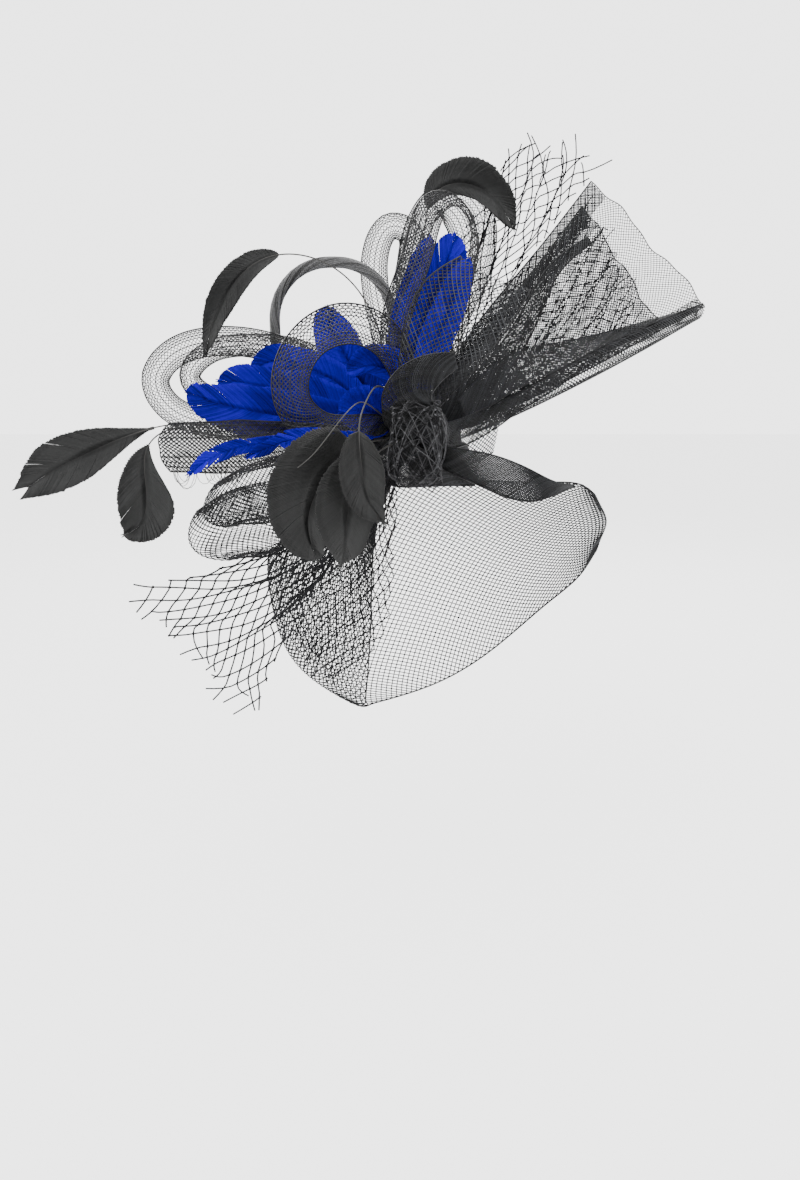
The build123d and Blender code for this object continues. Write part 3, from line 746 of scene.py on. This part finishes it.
BARB_STEP = 0.45  # between barbs along the quill
BARB_POINTS = 5
BARB_LAP = 0.75  # a barb's half width over the gap to the next
BARB_WIDE = (0.16, 2.2)  # its least and most half width
BARB_HIGH = 0.13
BARB_ANGLES = (56, 22)  # degrees off the quill, at the vane's foot and tip
QUILL_R = 0.42
QUILL_TIP = 0.08
QUILL_FRONT = 0.15  # how far the quill stands in front of its barbs
STEM_SHARE = 0.95  # how far along the feather its quill can be seen
CLUMP = (8, 34)  # how many barbs hold together, from 8 to 33
SPLITS = 0.22  # the share of clumps that part from their neighbours
FOLD = 0.9  # the height of a vane's waves


def leaf(u, fullness, blunt, cut=1.0):
    """Share of a vane's full half width at u along it. Its ends are rounder the smaller blunt is,
    and cut under 1 leaves the tip off."""
    inside = np.clip(u * cut, 0, 1)
    return np.sin(math.pi * inside ** fullness).clip(0) ** blunt


def feather(node, points, width, bare, fullness, vane, quill, slot, parted, blunt=0.7, cup=0.2,
            cut=1.0):
    """A feather: a tapering quill and, past its bare share, barbs in clumps on both sides. fullness
    sets how far along the vane is widest, parted is how far a clump draws together at its tips, and
    cup how far the vane bends back."""
    threads = Threads(node)
    rng = threads.rng
    spine = spline(points, 90)
    run = run_of(spine)
    ahead = unit(np.gradient(spine, axis=0))
    side = unit(np.cross(ahead, BACK))
    front = unit(np.cross(side, ahead))
    stem = slice(0, int(len(spine) * STEM_SHARE))
    taper = np.interp(run / run[-1], (0, max(bare, 0.1), 1), (QUILL_R, QUILL_R * 0.8, QUILL_TIP))
    shown = (spine + front * QUILL_FRONT)[stem]
    threads.add(shown, front[stem], taper[stem], sides=6, tone=0.6, part=1)
    start = bare * run[-1]
    length = run[-1] - start
    count = int(length / BARB_STEP)
    u = (np.arange(count) + 0.5) / count
    q = np.linspace(0, 1, BARB_POINTS)
    lean = np.tan(np.radians(np.interp(u, (0, 1), BARB_ANGLES)))
    low, high = np.zeros(count), np.full(count, width / 2)
    for _ in range(12):
        middle = (low + high) / 2
        short = middle < leaf(u + middle / lean / length, fullness, blunt, cut) * width / 2
        low, high = np.where(short, middle, low), np.where(short, high, middle)
    places = start + u * length
    root = along(spine, places)
    ahead, side, front = (
        unit(np.stack([np.interp(places, run, way[:, k]) for k in range(3)], axis=-1))[:, None]
        for way in (ahead, side, front)
    )
    for hand in (-1, 1):
        ends = np.cumsum(rng.integers(*CLUMP, count))
        clump = np.searchsorted(ends, np.arange(count), side="right")
        starts = np.concatenate([[0], ends])[clump]
        place = (np.arange(count) - starts) / np.maximum(ends[clump] - starts, 1) - 0.5
        draw = np.where(rng.random(clump.max() + 1) < SPLITS, parted, parted * 0.12)[clump]
        draw = draw * place * (ends[clump] - starts) * BARB_STEP
        trimmed = rng.uniform(0.97 - parted * 0.3, 1.02, clump.max() + 1)[clump]
        trimmed = trimmed * rng.uniform(0.98, 1.02, count)
        tones = rng.uniform(0.15, 0.85, clump.max() + 1)[clump] * 0.6 + rng.random(count) * 0.4
        reach = np.maximum(high * trimmed, 0.6)[:, None]
        out = (reach * q)[..., None]
        forward = (reach / lean[:, None] * q ** 1.25)[..., None]
        fold = FOLD * np.sin(TURN * 1.6 * u + rng.uniform(0, TURN))[:, None] * q
        drop = (cup * reach * q ** 2 + fold)[..., None]
        barbs = root[:, None] + side * out * hand + ahead * forward
        barbs = barbs - front * (drop + rng.normal(0, 0.05, (count, 1, 1)) * q[:, None])
        ways = unit(np.gradient(barbs, axis=1))[:-1]
        gaps = np.diff(barbs, axis=0)
        gaps = np.linalg.norm(gaps - ways * (gaps * ways).sum(axis=-1, keepdims=True), axis=-1)
        gaps = np.concatenate([gaps, gaps[-1:]])
        barbs = barbs - ahead * (draw[:, None] * q ** 1.5)[..., None]
        for k in range(count):
            facing = np.repeat(front[k], BARB_POINTS, axis=0)
            wide = np.clip(gaps[k] * BARB_LAP, *BARB_WIDE)
            threads.add(barbs[k], facing, wide, BARB_HIGH, tone=tones[k])
    threads.make(f"{node}_plume", [vane, quill], slot, node)


# Each feather's quill, width and bare share
BLUE_FEATHERS = {
    "blue_feather_long": (
        [(-19, -8, 12), (-38, -20, 14), (-64, -27, 18), (-86, -30, 23), (-100, -31, 28)], 24, 0.0,
    ),
    "blue_feather_upper": (
        [(-20, -4, 12), (-39, -9, 22), (-61, -12, 28), (-79, -13, 32), (-90, -13, 33)], 21, 0.0,
    ),
    "blue_feather_back": (
        [(-20, 0, 13), (-35, -1, 31), (-51, -2, 39), (-65, -3, 42), (-76, -3, 38)], 17, 0.0,
    ),
    "blue_feather_curl": ([(-14, 6, 17), (-27, 8, 34), (-35, 6, 48), (-40, 4, 59), (-41, 0, 66)], 22, 0.0),
    "blue_feather_bowl": (
        [(-8, -15, 20), (-7, -19, 28), (-11, -22, 36), (-20, -24, 39), (-30, -26, 36)], 18, 0.0,
    ),
    "blue_feather_heart": ([(-12, -17, 14), (-16, -24, 17), (-24, -29, 20), (-34, -31, 18)], 24, 0.0),
    "blue_feather_tall": ([(-8, 9, 19), (-7, 10, 48), (-2, 10, 71), (4, 10, 90), (7, 10, 98)], 14, 0.0),
    "blue_feather_main": ([(-3, 3, 21), (2, 4, 52), (10, 4, 74), (16, 4, 90), (18, 4, 98)], 26, 0.0),
    "blue_feather_right": ([(0, -3, 21), (8, -4, 47), (16, -4, 67), (21, -4, 79), (24, -4, 86)], 16, 0.0),
    "blue_strip_short": (
        [(-12, -18, 11), (-17, -40, 9), (-32, -57, 10), (-50, -61, 9), (-60, -61, 6), (-69, -61, 2)],
        8, 0.3,
    ),
    "blue_strip_long": (
        [(-15, -15, 12), (-32, -30, 11), (-50, -42, 9), (-70, -48, 6), (-84, -50, 2), (-96, -50, -6)],
        8, 0.3,
    ),
}
for node, (points, width, bare) in BLUE_FEATHERS.items():
    # A strip is a narrow feather with well parted barbs, widest past the middle of its vane
    fullness, parted = (1.8, 0.9) if "strip" in node else (1.1, 0.08)
    feather(node, points, width, bare, fullness, BLUE, BLUE_QUILL, "blue_feather", parted=parted,
            blunt=0.4)

# Each feather's quill, width, bare share and fullness
BLACK_FEATHERS = {
    "black_leaf_side": (
        [(-19, -11, 11), (-38, -23, 13), (-64, -31, 14), (-90, -37, 14), (-107, -40, 14),
         (-116, -41, 12), (-142, -43, 2), (-156, -44, -5), (-167, -45, -12)], 22, 0.62, 1.25,
    ),
    "black_leaf_drop": (
        [(-19, -12, 7), (-38, -23, 9), (-64, -31, 9), (-90, -37, 10), (-106, -42, 12), (-115, -43, 5),
         (-117, -43, -4), (-117, -44, -18), (-121, -44, -29), (-128, -44, -33)], 25, 0.7, 1.3,
    ),
    "black_leaf_arch": (
        [(-11, -12, 19), (-14, -19, 45), (-29, -22, 75), (-50, -23, 85), (-67, -22, 83),
         (-79, -21, 74), (-88, -20, 60), (-94, -19, 44)], 13, 0.62, 0.85,
    ),
    "black_leaf_top": (
        [(2, 17, 14), (4, 26, 50), (5, 28, 104), (10, 28, 121), (18, 28, 125),
         (31, 27, 123), (41, 26, 115), (48, 25, 104)], 19, 0.64, 1.0,
    ),
    "black_leaf_big": (
        [(-9, -19, 9), (-14, -46, 8), (-26, -74, 5), (-38, -80, -8), (-43, -80, -22), (-40, -76, -38)],
        34, 0.5, 0.9,
    ),
    "black_leaf_mid": (
        [(-6, -20, 9), (-9, -48, 7), (-19, -78, 1), (-26, -87, -13), (-28, -87, -27), (-30, -83, -38)],
        24, 0.54, 0.9,
    ),
    "black_leaf_forked": (
        [(-1, -18, 15), (-6, -32, 20), (-12, -48, 28), (-16, -60, 30), (-20, -76, 24), (-22, -92, 13),
         (-21, -93, 0), (-18, -92, -13), (-13, -91, -20)], 17, 0.7, 0.9,
    ),
}
for node, (points, width, bare, fullness) in BLACK_FEATHERS.items():
    # The side leaf is ragged, and its tip is cut off
    parted, blunt, cut = (0.08, 1.0, 0.86) if node == "black_leaf_side" else (0.04, 0.7, 1.0)
    feather(node, points, width, bare, fullness, COQUE, QUILL, "black_feather", parted=parted,
            blunt=blunt, cut=cut)


def bare_quill():
    """A stripped quill, tapering to a thread."""
    threads = Threads("black_quill_bare")
    spine = spline(
        [(-6, -19, 12), (-13, -35, 17), (-20, -60, 23), (-26, -87, 21), (-33, -98, 12), (-39, -100, 5),
         (-44, -99, 1)], 60,
    )
    threads.add(spine, np.repeat(-BACK[None], len(spine), axis=0), np.linspace(QUILL_R, 0.15, len(spine)),
                sides=6, tone=0.9)
    threads.make("black_quill_bare_stem", [QUILL], "black_feather", "black_quill_bare")


bare_quill()


# ---------------------------------------------------------------- base and clip

FELT_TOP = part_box("felt_base")[1].z / MM
PAD_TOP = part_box("crown_pad")[1].z / MM
PAD_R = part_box("crown_pad")[1].x / MM
PAD_ROUND = 14.0
PAD_FLAT = 4.5  # how much smaller the pad's flat top is than the end of its rounding
PAD_AROUND, PAD_WALL, PAD_BEND = 96, 6, 16  # points round the pad, up its wall and over its edge
PAD_SEED = 11
PUCKERS = 6


def crown_pad():
    """The felt pad: a low dome, puckered where the ends are sewn in."""
    rng = np.random.default_rng(PAD_SEED)
    bumps = [(rng.integers(5, 17), rng.uniform(0, TURN), rng.uniform(0.15, 0.45)) for _ in range(PUCKERS)]
    bend = np.linspace(0, math.pi / 2, PAD_BEND)
    profile = [(PAD_R, z) for z in np.linspace(FELT_TOP, PAD_TOP - PAD_ROUND, PAD_WALL)]
    profile += [
        (PAD_R - PAD_ROUND * (1 - math.cos(x)), PAD_TOP - PAD_ROUND * (1 - math.sin(x))) for x in bend
    ]
    profile += [(PAD_R - PAD_ROUND - PAD_FLAT, PAD_TOP), (0.01, PAD_TOP)]
    points, faces = [], []
    around = PAD_AROUND
    for row, (radius, height) in enumerate(profile):
        for k in range(around):
            angle = TURN * k / around
            dent = sum(h * math.sin(n * angle + p + row * 0.35) for n, p, h in bumps)
            dent = (dent - 1.0) * min(1.0, row / 3) * min(1.0, radius / 10)
            points.append(((radius + dent) * math.cos(angle), (radius + dent) * math.sin(angle), height))
    for row in range(len(profile) - 1):
        for k in range(around):
            a, b = row * around + k, row * around + (k + 1) % around
            faces.append((a, b, b + around, a + around))
    faces.append(tuple(range(around))[::-1])
    faces.append(tuple(range((len(profile) - 1) * around, len(profile) * around)))
    mesh = bpy.data.meshes.new("crown_pad_felt")
    mesh.from_pydata([tuple(x * MM for x in p) for p in points], [], faces)
    mesh.polygons.foreach_set("use_smooth", np.ones(len(mesh.polygons), bool))
    piece = bpy.data.objects.new("crown_pad_felt", mesh)
    bpy.context.scene.collection.objects.link(piece)
    mesh.materials.append(FELT)
    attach(piece, "headpiece")
    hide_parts("crown_pad")


crown_pad()


STITCH_LONG = 1.8
STITCH_SLANT = 0.6  # over the gap between stitches
STITCH_HIGH = 0.35
STITCH_R = 0.22
STITCH_POINTS = 6


def stitches(name, radius, height, count, slot="felt"):
    """A round of slanting whip stitches at this radius. Those at the foot face down."""
    threads = Threads(name)
    inner = radius - STITCH_LONG
    for k in range(count):
        angle = TURN * k / count
        lean = angle + STITCH_SLANT * TURN / count
        low = np.array([math.cos(angle) * inner, math.sin(angle) * inner, height])
        high = np.array([math.cos(lean) * radius, math.sin(lean) * radius, height])
        share = np.linspace(0, 1, STITCH_POINTS)[:, None]
        lift = np.array([0, 0, -STITCH_HIGH if height < 1 else STITCH_HIGH])
        arc = low + (high - low) * share + lift * np.sin(share * math.pi)
        threads.add(arc, np.repeat(lift[None], STITCH_POINTS, axis=0), STITCH_R, sides=6)
    threads.make(name, [SEWING], slot)


LINING_SEAM_R, LINING_STITCHES = 24.2, 60
BASE_SEAM_R, BASE_STITCHES = 25.0, 54
stitches("lining_stitches", LINING_SEAM_R, 0.0, LINING_STITCHES, "lining")
stitches("base_stitches", BASE_SEAM_R, FELT_TOP, BASE_STITCHES)

for node, look in (
    ("felt_base", FELT), ("head_lining", LINING), ("clip_plate", STEEL), ("clip_pin", SPRING),
    ("clip_jaw", STEEL), ("spring_coil", SPRING), ("spring_leg", SPRING),
):
    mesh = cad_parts[node].data
    mesh.materials.clear()
    mesh.materials.append(look)


# ---------------------------------------------------------------- camera, light and floor

CAMERA_AT = (-0.007, -0.390, 0.026)  # metres, as are the lamps and the floor
CAMERA_DOWN = 13.6
SENSOR = 36.0
FOCAL_SHARE = 800 / 1180  # the focal length over the picture's height
FLOOR_Z = -0.262
FLOOR_HALF = 6.0
SKY_STRENGTH = 3.4
LIT_POINT = (0, 0, 0.02)


def area_light(name, at, towards, size, power):
    """A square lamp, with its power in watts."""
    lamp = bpy.data.lights.new(name, "AREA")
    lamp.size = size
    lamp.energy = power
    made = bpy.data.objects.new(name, lamp)
    bpy.context.scene.collection.objects.link(made)
    made.location = at
    made.rotation_euler = (Vector(towards) - Vector(at)).to_track_quat("-Z", "Y").to_euler()


def stage():
    """The floor, a white sky, three soft lamps and the photo's camera."""
    mesh = bpy.data.meshes.new("floor")
    corners = ((-1, -1), (1, -1), (1, 1), (-1, 1))
    mesh.from_pydata([(x * FLOOR_HALF, y * FLOOR_HALF, FLOOR_Z) for x, y in corners], [], [(0, 1, 2, 3)])
    floor = bpy.data.objects.new("floor", mesh)
    bpy.context.scene.collection.objects.link(floor)
    pale = bpy.data.materials.new("pale_floor")
    pale.use_nodes = True
    pale.node_tree.nodes["Principled BSDF"].inputs["Base Color"].default_value = (0.9, 0.9, 0.9, 1)
    pale.node_tree.nodes["Principled BSDF"].inputs["Roughness"].default_value = 0.9
    mesh.materials.append(pale)
    world = bpy.data.worlds.new("studio")
    bpy.context.scene.world = world
    world.use_nodes = True
    sky = world.node_tree.nodes["Background"]
    sky.inputs["Color"].default_value = (1, 1, 1, 1)
    sky.inputs["Strength"].default_value = SKY_STRENGTH
    area_light("key", (-0.6, -0.9, 0.9), LIT_POINT, 0.9, 11)
    area_light("fill", (0.9, -0.7, 0.4), LIT_POINT, 0.9, 6)
    area_light("rim", (0.2, 0.9, 0.8), LIT_POINT, 0.7, 8)
    camera = bpy.data.objects.new("camera", bpy.data.cameras.new("camera"))
    bpy.context.scene.collection.objects.link(camera)
    camera.location = CAMERA_AT
    camera.rotation_euler = (math.radians(90 - CAMERA_DOWN), 0, 0)
    camera.data.sensor_width = SENSOR
    camera.data.lens = SENSOR * FOCAL_SHARE
    camera.data.clip_start = 0.01
    bpy.context.scene.camera = camera


stage()
